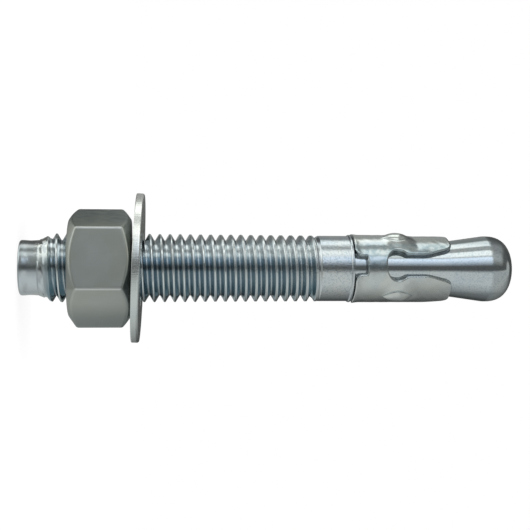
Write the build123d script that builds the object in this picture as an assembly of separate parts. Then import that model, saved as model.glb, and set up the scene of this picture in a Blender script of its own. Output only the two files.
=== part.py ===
"""Wedge anchor, 5/8 in - 11 by 4-1/2 in: threaded stud with a cone end, hex nut, washer and clip.

Millimetres. +Z runs along the stud, from the plain driving end at z = 0 towards the cone.
The origin is the centre of the driving end's flat face, on which the anchor stands.
Profiles of turned pieces are drawn as (radius, height) points.
"""

from build123d import *
import math
import os

# ---- Thread: 5/8 in - 11, right-hand -------------------------------------------------------
thread_pitch = 25.4 / 11
thread_major_diameter = 15.55
thread_crest_flat = 0.36
thread_flank_angle = 60.0
thread_offset = 1.26          # height where a groove's bottom crosses the +X side
thread_start = 4.4            # where the first, cut-down turn rises out of the driving end
thread_full_start = 7.4       # where the crests reach their full height
thread_run_out = 2.45         # length over which the grooves run out, up to the collar
nut_thread_allowance = 0.18   # radial gap between the nut's thread and the stud's
nut_minor_diameter = 13.5

# ---- Stud ----------------------------------------------------------------------------------
stud_length = 113.2
dog_diameter = 12.5
dog_waist = 0.1               # how far the driving end narrows in the middle of its length
dog_edge_radius = 0.7
collar_diameter = 15.1
collar_length = 7.4
collar_lip_height = 0.25      # metal pushed up round the collar's end
collar_lip_length = 0.65
neck_diameter = 12.5
neck_length = 21.8            # from the collar's end to the foot of the cone
neck_corner = 0.4             # sloped corner between the collar's end and the neck
cone_diameter = 15.3
cone_length = 9.8
cone_land = 0.8               # short cylinder between the cone and the dome
dome_height = 5.8
dome_fullness = 0.68          # 0.552 gives an ellipse, more is squarer at the shoulder
core_inset = 0.4              # depth of the solid core below the thread's root

# ---- Hex nut -------------------------------------------------------------------------------
nut_across_flats = 23.8
nut_thickness = 14.2
nut_position = 10.8           # lower face of the nut above the driving end
nut_turn_angle = -10.7        # how far a corner is turned from the +X axis
nut_chamfer_diameter = 21.6
nut_chamfer_angle = 35.0
nut_countersink_diameter = 16.6

# ---- Washer --------------------------------------------------------------------------------
washer_diameter = 34.0
washer_hole_diameter = 17.5
washer_thickness = 1.8
washer_rollover = 0.5         # rounded edge on the side that the punch entered
washer_edge_break = 0.2       # small bevel on the other side's edges

# ---- Expansion clip ------------------------------------------------------------------------
clip_wings = 3
clip_wall = 1.45
clip_clearance = 0.12         # radial gap to the neck and to the cone
clip_gap = 0.3                # free length between the collar and the clip
clip_length = 22.6
clip_rim_flare = 0.2          # how far the rim beside the collar stands out
clip_rim_length = 2.0
clip_edge_break = 0.2         # small bevel on the rims' outer and inner edges
clip_turn_angle = -96.4       # direction of the middle of the first slot
slot_bulb_width = 7.4         # slot and notch widths are drawn on a plane at mid wall
slot_bulb_length = 5.3
slot_bulb_position = 9.9      # middle of the slot's round end, from the rim beside the collar
slot_width = 5.0
slot_narrow_end = 17.3        # where the slot begins to open, from the same rim
slot_mouth_width = 9.2
slot_blend_radius = 1.2
wing_corner_radius = 1.8
notch_width = 4.2
notch_depth = 2.8
notch_mouth_radius = 2.0
seam_width = 0.8              # gap where the two ends of the wrapped strip meet
bump_position = 10.0
bump_length = 7.0
bump_width = 5.8
bump_height = 0.8

# ---- Derived sizes -------------------------------------------------------------------------
thread_major_radius = thread_major_diameter / 2
thread_flank_slope = math.tan(math.radians(thread_flank_angle / 2))
thread_depth = (thread_pitch - thread_crest_flat) / 2 / thread_flank_slope
thread_root_radius = thread_major_radius - thread_depth
core_radius = thread_root_radius - core_inset
collar_radius = collar_diameter / 2
neck_radius = neck_diameter / 2
cone_radius = cone_diameter / 2
cone_slope = (cone_radius - neck_radius) / cone_length
dome_start = stud_length - dome_height
cone_end = dome_start - cone_land
cone_start = cone_end - cone_length
collar_end = cone_start - neck_length
thread_end = collar_end - collar_length
thread_full_end = thread_end - thread_run_out
nut_top = nut_position + nut_thickness
clip_start = collar_end + clip_gap
clip_end = clip_start + clip_length
clip_inner_radius = neck_radius + clip_clearance
clip_outer_radius = clip_inner_radius + clip_wall
clip_mid_radius = clip_inner_radius + clip_wall / 2
wing_tip_inner_radius = clip_inner_radius + (clip_end - cone_start) * cone_slope
FULL_TURN = 360.0
TINY = 1e-6                   # lengths under this count as none
ARC_MIDDLE = 1 - math.sqrt(0.5)  # a quarter arc's middle, in radii from its two tangents


def turned(profile):
    """Solid of revolution of a closed profile, radius along X and height along Z."""
    return revolve(Plane.XZ * make_face(profile), axis=Axis.Z)


# ---- Thread --------------------------------------------------------------------------------
def helix_turn(radius, height):
    """One turn of a right-hand helix that starts at the angle 0 and the given height."""
    return Edge.make_helix(thread_pitch, thread_pitch, radius, center=(0, 0, height))


def helix_strip(lower, upper):
    """Ruled face between the helices through two (radius, height) points."""
    return Face.make_surface_from_curves(helix_turn(*lower), helix_turn(*upper))


def thread_section(crest_radius, root_radius):
    """(radius, height) points of one pitch of thread, centred on its crest."""
    flank = (crest_radius - root_radius) * thread_flank_slope
    half_root = (thread_pitch - thread_crest_flat) / 2 - flank
    ridge = [
        (root_radius, half_root),
        (crest_radius, half_root + flank),
        (crest_radius, half_root + flank + thread_crest_flat),
        (root_radius, thread_pitch - half_root),
    ]
    if half_root < TINY:
        return ridge
    return [(root_radius, 0), *ridge, (root_radius, thread_pitch)]


def whole_turns(low, high):
    """Where a sleeve starts, and its number of turns, so that cuts at low and high clean its ends."""
    first = math.floor((low - thread_offset) / thread_pitch) - 1
    start = thread_offset + first * thread_pitch
    return start, math.ceil((high - start) / thread_pitch)


def thread_sleeve(crest_radius, root_radius, bore_radius, start, turns):
    """Hollow threaded sleeve, sewn from one ruled strip for each side and turn of its thread."""
    section = thread_section(crest_radius, root_radius)
    top = start + turns * thread_pitch
    faces = []
    for turn in range(turns):
        base = start + turn * thread_pitch
        raised = [(r, base + z) for r, z in section]
        faces += [helix_strip(a, b) for a, b in zip(raised, raised[1:])]
    faces.append(helix_strip((bore_radius, start), (bore_radius, top)))
    for end in (start, top):
        faces.append(helix_strip((bore_radius, end), (root_radius, end)))
        outline = [(bore_radius, 0), *section, (bore_radius, thread_pitch)]
        outline = [(r, 0, end + z) for r, z in outline]
        faces.append(make_face(Polyline(*outline, close=True)))
    return Solid(Shell(faces))


# ---- Stud ----------------------------------------------------------------------------------
def stud_body():
    """Driving end, core, run-out, collar, neck, cone and dome, turned as one piece."""
    dog_radius = dog_diameter / 2
    waist = dog_radius - dog_waist
    corner = dog_edge_radius
    run_out = (collar_radius, thread_end)
    lip_radius = collar_radius + collar_lip_height
    foot = Polyline(
        (0, 0),
        (dog_radius - corner, 0),
        (dog_radius - ARC_MIDDLE * corner, ARC_MIDDLE * corner),
        (dog_radius, corner),
    )
    side = Spline(foot @ 1, (waist, (corner + thread_start) / 2), (dog_radius, thread_start))
    core = Polyline(
        (dog_radius, thread_start),
        (core_radius, thread_full_start),
        (core_radius, thread_full_end),
        (thread_root_radius, thread_full_end),
        run_out,
    )
    collar = Polyline(
        run_out,
        (collar_radius, collar_end - collar_lip_length),
        (lip_radius, collar_end - collar_lip_length + collar_lip_height),
        (lip_radius, collar_end),
        (neck_radius + neck_corner, collar_end),
        (neck_radius, collar_end + neck_corner),
        (neck_radius, cone_start),
        (cone_radius, cone_end),
        (cone_radius, dome_start),
    )
    dome = Bezier(
        (cone_radius, dome_start),
        (cone_radius, dome_start + dome_fullness * dome_height),
        (dome_fullness * cone_radius, stud_length),
        (0, stud_length),
    )
    axis = Line((0, stud_length), (0, 0))
    return turned([foot, side, core, collar, dome, axis])


def stud_thread():
    """The stud's thread, cut down to cones where it starts and where it runs out."""
    start, turns = whole_turns(thread_start, thread_end)
    sleeve = thread_sleeve(
        thread_major_radius, thread_root_radius, core_radius - core_inset, start, turns
    )
    clear = thread_major_radius + thread_depth
    dog_radius = dog_diameter / 2
    lead_slope = (thread_major_radius - dog_radius) / (thread_full_start - thread_start)
    end_slope = (thread_major_radius - collar_radius) / (thread_end - thread_full_end)
    envelope = Polyline(
        (0, thread_start),
        (dog_radius, thread_start),
        (clear, thread_start + (clear - dog_radius) / lead_slope),
        (clear, thread_end - (clear - collar_radius) / end_slope),
        (collar_radius, thread_end),
        (0, thread_end),
        (0, thread_start),
    )
    return sleeve & turned(envelope)


def make_stud():
    return stud_body() + stud_thread()


# ---- Hex nut -------------------------------------------------------------------------------
def nut_blank():
    """Hexagon prism with the corners of both ends turned off."""
    hexagon = RegularPolygon(nut_across_flats / 2, 6, major_radius=False)
    prism = extrude(hexagon, nut_thickness)
    slope = math.tan(math.radians(nut_chamfer_angle))
    chamfer_radius = nut_chamfer_diameter / 2
    reach = nut_across_flats
    drop = (reach - chamfer_radius) * slope
    double_cone = Polyline(
        (0, 0),
        (chamfer_radius, 0),
        (reach, drop),
        (reach, nut_thickness - drop),
        (chamfer_radius, nut_thickness),
        (0, nut_thickness),
        (0, 0),
    )
    return prism & turned(double_cone)


def make_nut():
    """Nut with its thread cut by a tap that is in step with the stud's thread."""
    tap_radius = nut_minor_diameter / 2
    sink_radius = nut_countersink_diameter / 2
    sink = sink_radius - tap_radius
    bore = Polyline(
        (0, 0),
        (sink_radius, 0),
        (tap_radius - core_inset, sink + core_inset),
        (tap_radius - core_inset, nut_thickness - sink - core_inset),
        (sink_radius, nut_thickness),
        (0, nut_thickness),
        (0, 0),
    )
    blank = nut_blank().rotate(Axis.Z, nut_turn_angle) - turned(bore)
    start, turns = whole_turns(nut_position, nut_top)
    crest_radius = thread_major_radius + nut_thread_allowance
    tap = thread_sleeve(crest_radius, tap_radius, tap_radius - 2 * core_inset, start, turns)
    return Pos(0, 0, nut_position) * blank - tap


# ---- Washer --------------------------------------------------------------------------------
def make_washer():
    """Stamped ring: its top outer edge is rolled over by the punch, its lower edges are crisp."""
    outer, inner = washer_diameter / 2, washer_hole_diameter / 2
    bevel, roll = washer_edge_break, washer_rollover
    section = Polyline(
        (inner, washer_thickness),
        (inner, bevel),
        (inner + bevel, 0),
        (outer - bevel, 0),
        (outer, bevel),
        (outer, washer_thickness - roll),
        (outer - ARC_MIDDLE * roll, washer_thickness - ARC_MIDDLE * roll),
        (outer - roll, washer_thickness),
        (inner, washer_thickness),
    )
    return Pos(0, 0, nut_top) * turned(section)


# ---- Expansion clip ------------------------------------------------------------------------
def clip_sleeve():
    """Sleeve turned about the neck, coned inside where its wings lie on the cone."""
    rim_radius = clip_outer_radius + clip_rim_flare
    profile = Polyline(
        (clip_inner_radius, clip_start),
        (rim_radius, clip_start),
        (clip_outer_radius, clip_start + clip_rim_length),
        (clip_outer_radius, clip_end),
        (wing_tip_inner_radius, clip_end),
        (clip_inner_radius, cone_start),
        (clip_inner_radius, clip_start),
    )
    sleeve = turned(profile)
    rims = sleeve.edges().filter_by(GeomType.CIRCLE).group_by(Axis.Z)
    return chamfer(rims[0] + rims[-1], clip_edge_break)


def slot_outline():
    """Keyhole slot from its round end to beyond the wings' tips, on X and Y from the rim."""
    bulb = Pos(0, slot_bulb_position) * Ellipse(slot_bulb_width / 2, slot_bulb_length / 2)
    half, mouth = slot_width / 2, slot_mouth_width / 2
    beyond = clip_length + clip_wall
    opening = make_face(
        Polyline(
            (-half, slot_bulb_position),
            (half, slot_bulb_position),
            (half, slot_narrow_end),
            (mouth, clip_length),
            (clip_mid_radius, clip_length),
            (clip_mid_radius, beyond),
            (-clip_mid_radius, beyond),
            (-clip_mid_radius, clip_length),
            (-mouth, clip_length),
            (-half, slot_narrow_end),
            close=True,
        )
    )
    tips = opening.vertices().filter_by(lambda v: abs(v.Y - clip_length) < TINY)
    corners = tips.sort_by(lambda v: abs(v.X))[:2]
    opening = fillet(corners, wing_corner_radius)
    outline = bulb + opening
    throat = outline.vertices().filter_by(
        lambda v: slot_bulb_position < v.Y < slot_narrow_end - TINY
    )
    return fillet(throat, slot_blend_radius)


def notch_outline():
    """Notch in the rim beside the collar, with its mouth rounded outwards."""
    half = notch_width / 2
    outline = make_face(
        Polyline(
            (-half, notch_depth),
            (half, notch_depth),
            (half, 0),
            (clip_mid_radius, 0),
            (clip_mid_radius, -clip_wall),
            (-clip_mid_radius, -clip_wall),
            (-clip_mid_radius, 0),
            (-half, 0),
            close=True,
        )
    )
    mouth = outline.vertices().filter_by(lambda v: abs(v.Y) < TINY)
    return fillet(mouth.sort_by(lambda v: abs(v.X))[:2], notch_mouth_radius)


def radial_cutter(outline, angle):
    """Wedge whose sides run to the stud's axis, through an outline drawn at mid wall."""
    sections = []
    for distance in (clip_mid_radius - clip_wall, clip_mid_radius + clip_wall):
        shape = scale(outline, by=(distance / clip_mid_radius, 1, 1))
        plane = Plane((0, 0, clip_start), x_dir=(1, 0, 0), z_dir=(0, -1, 0))
        sections.append(plane.offset(distance) * shape)
    return loft(sections, ruled=True).rotate(Axis.Z, angle + FULL_TURN / 4)


def arc_radius(half_chord, rise):
    """Radius of an arc from half its chord and its rise over the chord."""
    return (half_chord**2 + rise**2) / (2 * rise)


def wing_bump():
    """Oval bump on a wing's middle line: the cap of a spindle that lies along the wing."""
    half_width = bump_width / 2
    top = clip_outer_radius + bump_height
    rise = top - math.sqrt(clip_outer_radius**2 - half_width**2)
    girth = arc_radius(half_width, rise)
    bow = arc_radius(bump_length / 2, bump_height)
    tip = math.sqrt(bow**2 - (bow - girth) ** 2)
    spindle = turned([ThreePointArc((0, -tip), (girth, 0), (0, tip)), Line((0, tip), (0, -tip))])
    cap = Pos(top - girth, 0, 0) * spindle - Cylinder(clip_mid_radius, clip_length)
    return Pos(0, 0, clip_start + bump_position) * cap


def make_clip():
    """Wrapped clip with a slot and a notch between its wings and a bump on each wing."""
    clip = clip_sleeve()
    slot, notch = slot_outline(), notch_outline()
    step = FULL_TURN / clip_wings
    for wing in range(clip_wings):
        angle = clip_turn_angle + wing * step
        clip -= radial_cutter(slot, angle) + radial_cutter(notch, angle)
        clip += wing_bump().rotate(Axis.Z, angle + step / 2)
    seam = extrude(Rectangle(2 * clip_wall, seam_width), slot_bulb_position)
    seam = Pos(clip_mid_radius, 0, clip_start) * seam
    return clip - seam.rotate(Axis.Z, clip_turn_angle + step)


def main():
    os.makedirs("parts", exist_ok=True)
    pieces = {
        "stud": make_stud(),
        "hex_nut": make_nut(),
        "flat_washer": make_washer(),
        "expansion_clip": make_clip(),
    }
    for name, piece in pieces.items():
        export_step(piece, f"parts/{name}.step")


main()
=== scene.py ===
"""Wedge anchor with its nut and washer, bright zinc plated, standing on its driving end.

Each visible piece is a surface worked out on a grid around the stud's axis, which is Z.
Grids hold points as (row, column, x y z) in metres. Angles are radians from the X axis.
"""

import math

import bmesh
import bpy
import numpy as np
from bpy.props import FloatProperty, FloatVectorProperty, IntProperty, PointerProperty
from mathutils import Matrix, Vector


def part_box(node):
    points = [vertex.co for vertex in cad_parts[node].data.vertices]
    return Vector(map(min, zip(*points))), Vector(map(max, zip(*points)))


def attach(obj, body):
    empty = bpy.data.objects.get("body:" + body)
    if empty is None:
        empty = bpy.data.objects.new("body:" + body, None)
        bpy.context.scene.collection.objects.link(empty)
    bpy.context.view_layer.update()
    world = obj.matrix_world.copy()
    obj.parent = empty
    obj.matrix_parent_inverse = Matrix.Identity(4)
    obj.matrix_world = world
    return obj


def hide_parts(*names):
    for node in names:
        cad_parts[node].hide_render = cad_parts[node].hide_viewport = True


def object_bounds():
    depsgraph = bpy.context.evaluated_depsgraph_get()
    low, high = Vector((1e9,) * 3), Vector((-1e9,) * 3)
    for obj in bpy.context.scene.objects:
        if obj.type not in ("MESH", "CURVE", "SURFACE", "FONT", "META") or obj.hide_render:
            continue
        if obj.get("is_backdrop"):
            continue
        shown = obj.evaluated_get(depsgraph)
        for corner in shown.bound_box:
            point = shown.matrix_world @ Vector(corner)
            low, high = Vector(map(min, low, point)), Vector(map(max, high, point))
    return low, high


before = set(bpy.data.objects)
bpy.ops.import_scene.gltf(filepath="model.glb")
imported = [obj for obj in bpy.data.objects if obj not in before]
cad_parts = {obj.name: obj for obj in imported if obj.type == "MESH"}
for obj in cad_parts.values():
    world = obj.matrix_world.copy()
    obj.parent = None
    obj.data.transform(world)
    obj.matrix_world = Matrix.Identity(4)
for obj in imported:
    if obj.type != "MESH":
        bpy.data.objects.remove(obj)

CAD_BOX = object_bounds()
STUD_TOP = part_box("stud")[1].z
NUT_LOW, NUT_HIGH = (corner.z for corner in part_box("hex_nut"))
WASHER_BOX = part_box("flat_washer")
CLIP_LOW, CLIP_HIGH = (corner.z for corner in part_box("expansion_clip"))

MM = 0.001
TAU = 2 * math.pi
WELD = 2e-7                   # points closer than this become one
LENS_TAPER = 1.7              # how much narrower a bump's sharp crest is than the whole bump

bl_info = {
    "name": "Wedge Anchor",
    "version": (1, 0, 0),
    "blender": (4, 5, 0),
    "location": "3D View > Sidebar > Anchor",
    "description": "Builds a zinc plated wedge anchor and the studio it stands in",
    "category": "Add Mesh",
}


# ---- Sizes and colours a user would change ----
def amount(name, description, default):
    return FloatProperty(
        name=name, description=description, default=default, min=0, max=1, subtype="FACTOR"
    )


def colour(name, description, default):
    return FloatVectorProperty(
        name=name, description=description, default=default, size=3, min=0, max=1,
        subtype="COLOR",
    )


def number(name, description, default, low=0.0, unit="NONE"):
    return FloatProperty(
        name=name, description=description, default=default, min=low, unit=unit, precision=5
    )


def length(name, description, millimetres):
    return number(name, description, millimetres * MM, unit="LENGTH")


def degrees(name, description, default):
    return FloatProperty(
        name=name, description=description, default=math.radians(default), subtype="ANGLE"
    )


def count(name, description, default, low):
    return IntProperty(name=name, description=description, default=default, min=low)


class AnchorStudSizes(bpy.types.PropertyGroup):
    columns: count("Columns", "Grid columns around the stud", 120, 24)
    pitch: length("Pitch", "Height of one turn of the thread", 25.4 / 11)
    thread_offset: length("Thread offset", "Height of a groove's bottom on +X", 1.26)
    major_radius: length("Crest radius", "Radius over the thread's crests", 7.8)
    crest_fade: length("Crest fade", "How much lower the crests are by the collar", 0.12)
    root_radius: length("Root radius", "Radius at the bottom of the grooves", 6.087)
    root_flat: length("Root flat", "Width of the grooves' bottoms", 0.20)
    root_rounding: length("Root rounding", "Softening of the grooves' bottoms", 0.12)
    crest_flat: length("Crest flat", "Width of the thread's crest", 0.36)
    crest_rounding: length("Crest rounding", "Softening of the crest's corners", 0.2)
    seam_depth: length("Crest seam", "Depth of the fold that rolling leaves", 0.09)
    seam_half: length("Crest seam half width", "Half the width of that fold", 0.2)
    unevenness: length("Unevenness", "How much the crests' height wavers", 0.015)
    thread_start: length("Thread start", "Height where the first turn rises", 4.4)
    full_start: length("Full start", "Height where the crests are full", 7.4)
    full_end: length("Full end", "Height where the grooves begin to run out", 65.15)
    thread_end: length("Thread end", "Height where the collar begins", 67.6)
    dog_radius: length("Driving end radius", "Radius of the plain driving end", 6.25)
    dog_edge: length("Driving end edge", "Rounding of the driving end", 0.6)
    dog_waist: length("Driving end waist", "How far its middle is drawn in", 0.1)
    dog_marks: length("Driving end marks", "Depth of its hammer marks", 0.02)
    flare: length("Flare", "Metal pushed up beside the first turn", 0.42)
    flare_limit: length("Flare limit", "Most it stands out, so the nut clears it", 0.44)
    flare_middle: length("Flare middle", "From the first turn's start", 1.7)
    flare_half: length("Flare half length", "Half its length along the stud", 2.6)
    flare_fall: length("Flare fall", "Drop of the grooves after the flare", 0.5)
    start_rounding: length("Start rounding", "Softening where crests are full", 0.3)
    collar_radius: length("Collar radius", "Radius of the plain collar", 7.55)
    collar_end: length("Collar end", "Height of the collar's shoulder", 75.0)
    lip_height: length("Lip height", "Metal pushed up round the collar's end", 0.25)
    lip_length: length("Lip length", "Width of that ring", 0.65)
    neck_radius: length("Neck radius", "Radius of the neck under the clip", 6.25)
    cone_start: length("Cone start", "Height of the cone's foot", 96.8)
    cone_end: length("Cone end", "Height where the cone is widest", 106.6)
    cone_radius: length("Cone radius", "Radius of the cone's land", 7.65)
    dome_start: length("Dome start", "Height where the end begins to round", 107.4)
    dome_fullness: amount("Dome fullness", "How square the dome's shoulder is", 0.68)


class AnchorNutSizes(bpy.types.PropertyGroup):
    steps: count("Steps", "Grid columns across one of the six sides", 24, 8)
    apothem: length("Half across flats", "From the axis to a flat side", 11.9)
    corner_rounding: length("Corner rounding", "Radius of the upright corners", 0.5)
    chamfer_radius: length("Chamfer radius", "Radius of the bearing face", 10.8)
    chamfer_slope: degrees("Chamfer slope", "Angle of the chamfer to the bearing face", 35)
    edge_rounding: length("Edge rounding", "Rounding of the faces' edges", 0.5)
    sink_radius: length("Countersink radius", "Mouth of the threaded hole", 8.3)
    minor_radius: length("Minor radius", "Radius over the nut thread's crests", 6.75)
    allowance: length("Allowance", "Radial gap to the stud's thread", 0.18)
    turn: degrees("Turn", "Angle of a corner from the X axis", -10.7)


class AnchorWasherSizes(bpy.types.PropertyGroup):
    columns: count("Columns", "Grid columns around the washer", 160, 24)
    radius: length("Radius", "Outside, with room to lean", WASHER_BOX[1].x / MM - 0.05)
    hole_radius: length("Hole radius", "Radius of the hole", 8.75)
    rollover: length("Rollover", "Rounded edge where the punch entered", 0.55)
    edge: length("Edge", "Rounding of the sharper edges", 0.18)
    lean: degrees("Lean", "How far the loose ring leans away from the nut", 2.58)
    lean_foot: degrees("Lean foot", "Direction of the point where it touches the nut", -35.6)


class AnchorClipSizes(bpy.types.PropertyGroup):
    wings: IntProperty(name="Wings", description="Number of wings", default=3, min=2, max=4)
    columns: count("Columns", "Grid columns across a wing", 61, 9)
    inner_radius: length("Inner radius", "Inside radius around the neck", 6.37)
    outer_radius: length("Outer radius", "Outside radius", 7.82)
    flare: length("Rim flare", "How far the lower rim stands out", 0.2)
    flare_length: length("Flare length", "Height of the flared rim", 2.0)
    edge: length("Edge", "Rounded edge of the stamped sheet", 0.34)
    unevenness: length("Unevenness", "Depth of the dents left by wrapping", 0.03)
    pressing: length("Pressing", "How far the wings' middles are pressed in", 0.5)
    pressing_start: length("Pressing start", "Where it begins, from the rim", 11.6)
    pressing_half: degrees("Pressing half angle", "Half the angle of a pressed middle", 38)
    bulb_half: length("Bulb half width", "Half the slot's round end", 3.7)
    bulb_reach: length("Bulb reach", "Half its length", 2.65)
    bulb_middle: length("Bulb middle", "Its middle, from the lower rim", 9.9)
    slot_half: length("Slot half width", "Half the narrow part's width", 2.5)
    slot_opens: length("Slot opens", "Where the slot begins to open", 17.3)
    mouth_half: length("Mouth half width", "Half the slot's open end", 4.6)
    tip_rounding: length("Tip rounding", "Rounding of the wings' corners", 1.9)
    notch_half: length("Notch half width", "Half the lower notch's width", 2.1)
    notch_depth: length("Notch depth", "Depth of the lower notch", 2.8)
    notch_arch: length("Notch arch", "Height of the arch that ends the notch", 0.5)
    notch_rounding: length("Notch rounding", "Rounding of the notch's mouth", 1.9)
    seam_half: length("Seam half width", "Half the gap of the wrapped strip", 0.4)
    bump_height: length("Bump height", "How far the bumps stand out", 0.95)
    bump_half_length: length("Bump half length", "Half a bump's length", 3.5)
    bump_half_width: length("Bump half width", "Half a bump's width", 3.5)
    bump_position: length("Bump position", "A bump's middle, from the rim", 10.0)
    bump_crest: amount("Bump crest", "Share of a bump's height in its sharper crest", 0.45)
    first_slot: degrees("First slot", "Direction of the first slot's middle", -96.4)


class AnchorColours(bpy.types.PropertyGroup):
    zinc: colour("Zinc", "Bright zinc on the stud", (0.63, 0.66, 0.68))
    zinc_blue: colour("Blue zinc", "Bluish tint in the plating", (0.52, 0.59, 0.67))
    zinc_warm: colour("Warm zinc", "Yellowish tint in the plating", (0.68, 0.67, 0.62))
    nut_zinc: colour("Nut zinc", "Duller zinc on the nut", (0.41, 0.42, 0.38))
    washer_zinc: colour("Washer zinc", "Warm grey zinc on the washer", (0.95, 0.95, 0.91))
    clip_zinc: colour("Clip zinc", "Zinc on the stamped clip", (0.62, 0.65, 0.64))
    # Painted sheen on the nut's lower side, and the nut's edges, worn bright and painted as
    # highlight lines
    sheen_and_worn_zinc: colour("Worn zinc", "Zinc worn bright on the nut's edges", (0.74, 0.76, 0.76))
    crest_zinc: colour("Crest zinc", "Zinc worn on the thread's crests", (0.80, 0.86, 0.88))
    # Painted highlight: a bright strip along the thread's upper side
    highlight_zinc: colour("Rubbed zinc", "Strip rubbed along the thread", (0.86, 0.89, 0.91))
    # Crumpled metal of the flare, painted brighter as a sheen on its upper side
    torn_sheen_zinc: colour("Torn zinc", "Crumpled metal of the flare", (0.86, 0.88, 0.86))
    # Painted glints: brighter frosted patches on the thread's upper side only
    frost_glint_zinc: colour("Frosted zinc", "Frosted patches on the thread", (0.92, 0.95, 0.93))
    # Painted highlight on the washer's upper side
    washer_highlight: colour("Washer shine", "The washer's clean side", (0.98, 0.98, 0.95))
    # Painted highlight along the clip's top edge
    clip_highlight: colour("Clip shine", "The clip's clean side", (0.90, 0.92, 0.89))
    # Painted shade in the thread's grooves, on the washer's lower side, on a band of the clip and
    # in the crease round each bump; also grime in the collar's scuffs
    grime_and_shade: colour("Grime", "Bluish film left in grooves", (0.21, 0.33, 0.39))
    # Painted shade on the driving end, the cone's sides, under the clip's wing, and on the nut's
    # flats and far chamfer
    painted_shade: colour("Dull film", "Dark film on flats and ends", (0.20, 0.24, 0.24))


class AnchorStage(bpy.types.PropertyGroup):
    camera_distance: length("Camera distance", "From the stud's axis", 249.5)
    camera_height: length("Camera height", "Along the stud, from its driving end", 28.27)
    camera_side: number("Camera side", "Place of the camera along X", -0.765 * MM, -1, "LENGTH")
    camera_yaw: degrees("Camera aim", "Turn of the camera towards the cone", 6.206)
    camera_roll: degrees("Camera roll", "Turn of the camera about its own axis", 0.17)
    lens: number("Lens", "Focal length on a 36 mm sensor", 74.03)
    tent_radius: length("Tent radius", "Distance of the light tent from the axis", 700)
    tent_middle: length("Tent middle", "Height that the cards are placed about", 60)
    tent_strength: number("Tent strength", "Brightness of the cards", 1.4)
    floor_white: amount("Floor white", "Share of plain white in the floor as it is seen", 0.85)
    lamp_size: length("Lamp size", "Side of the softbox overhead", 600)
    lamp_power: number("Lamp power", "Power of the softbox overhead", 4.0, unit="POWER")


# ---- Grids ----
def around(columns):
    """Angles of a full round of columns; the last one closes on the first."""
    return np.linspace(0, TAU, columns + 1)


def placed(radius, angle, height):
    """Points at x = r cos a, y = r sin a, z = h, for arrays that broadcast together."""
    x = radius * np.cos(angle)
    y = radius * np.sin(angle)
    return np.stack(np.broadcast_arrays(x, y, height), axis=-1)


def rounded(corners, cuts, steps=4):
    """Line through corners, each cut back by its own length and bridged by a quadratic Bezier.

    A bridge is (1-t)^2 a + 2t(1-t) b + t^2 c, from a before the corner b to c after it.
    Corners are (x, y) pairs of numbers, or of arrays where every column has its own line.
    """
    numbers = np.broadcast_arrays(*(number for corner in corners for number in corner))
    corners = np.array(numbers, dtype=float).reshape(len(corners), 2, *numbers[0].shape)
    rows = [corners[0]]
    t = np.linspace(0, 1, steps + 1)
    t = t.reshape((-1,) + (1,) * corners[0].ndim)
    for before, here, after, cut in zip(corners, corners[1:], corners[2:], cuts):
        start = here + (before - here) * cut / np.linalg.norm(before - here, axis=0)
        end = here + (after - here) * cut / np.linalg.norm(after - here, axis=0)
        bridge = (1 - t) ** 2 * start + 2 * t * (1 - t) * here + t**2 * end
        rows.extend(bridge if cut > 0 else [here])
    rows.append(corners[-1])
    return np.array(rows)


def braced(line, gap=0.15 * MM):
    """Line with a further row a gap inside both ends of its long steps, to keep them straight."""
    steps = np.linalg.norm(line[1:] - line[:-1], axis=1, keepdims=True)
    long = np.flatnonzero(steps.reshape(len(steps), -1).min(axis=1) > 4 * gap)
    before, after = line[long], line[long + 1]
    inward = (after - before) * gap / steps[long]
    rows = np.stack([before + inward, after - inward], axis=1).reshape(-1, *line.shape[1:])
    return np.insert(line, np.repeat(long + 1, 2), rows, axis=0)


def upright(x, heights):
    """Points (x, height), all at one x."""
    return np.stack([np.full_like(heights, x), heights], axis=-1)


def revolved(line, angles):
    """Carries a line of (radius, height) rows round the Z axis."""
    if line.ndim == 2:
        line = line[:, :, None]
    line = braced(line)
    return placed(line[:, 0], angles, line[:, 1])


def soft_min(a, b, width):
    """min(a, b) with its corner blended over a width: min - max(w - |a - b|, 0)^2 / 4w."""
    return np.minimum(a, b) - np.maximum(width - np.abs(a - b), 0) ** 2 / (4 * width)


def soft_max(a, b, width):
    """max(a, b) with its corner blended over a width."""
    return -soft_min(-a, -b, width)


def bell(x):
    """Smooth hill from 0 at |x| = 1 to 1 at 0: (1 - x^2)^2."""
    return np.maximum(1 - x**2, 0) ** 2


def ease(x):
    """Smooth step 3x^2 - 2x^3, held between 0 and 1."""
    x = np.clip(x, 0, 1)
    return x * x * (3 - 2 * x)


def hammered(angle, height, scale):
    """Uneven surface in -1..1: the mean of sine waves that run askew round the axis."""
    around_turns = np.array([3, 5, 8, 11, 14, 19])
    along = np.array([1.1, -1.7, 2.6, -3.1, 0.7, -4.3]) / scale
    phase = np.array([0.4, 2.1, 3.7, 5.2, 1.3, 4.4])
    angle, height = angle[..., None], height[..., None]
    return np.sin(angle * around_turns + height * along * TAU + phase).mean(axis=-1)


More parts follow.
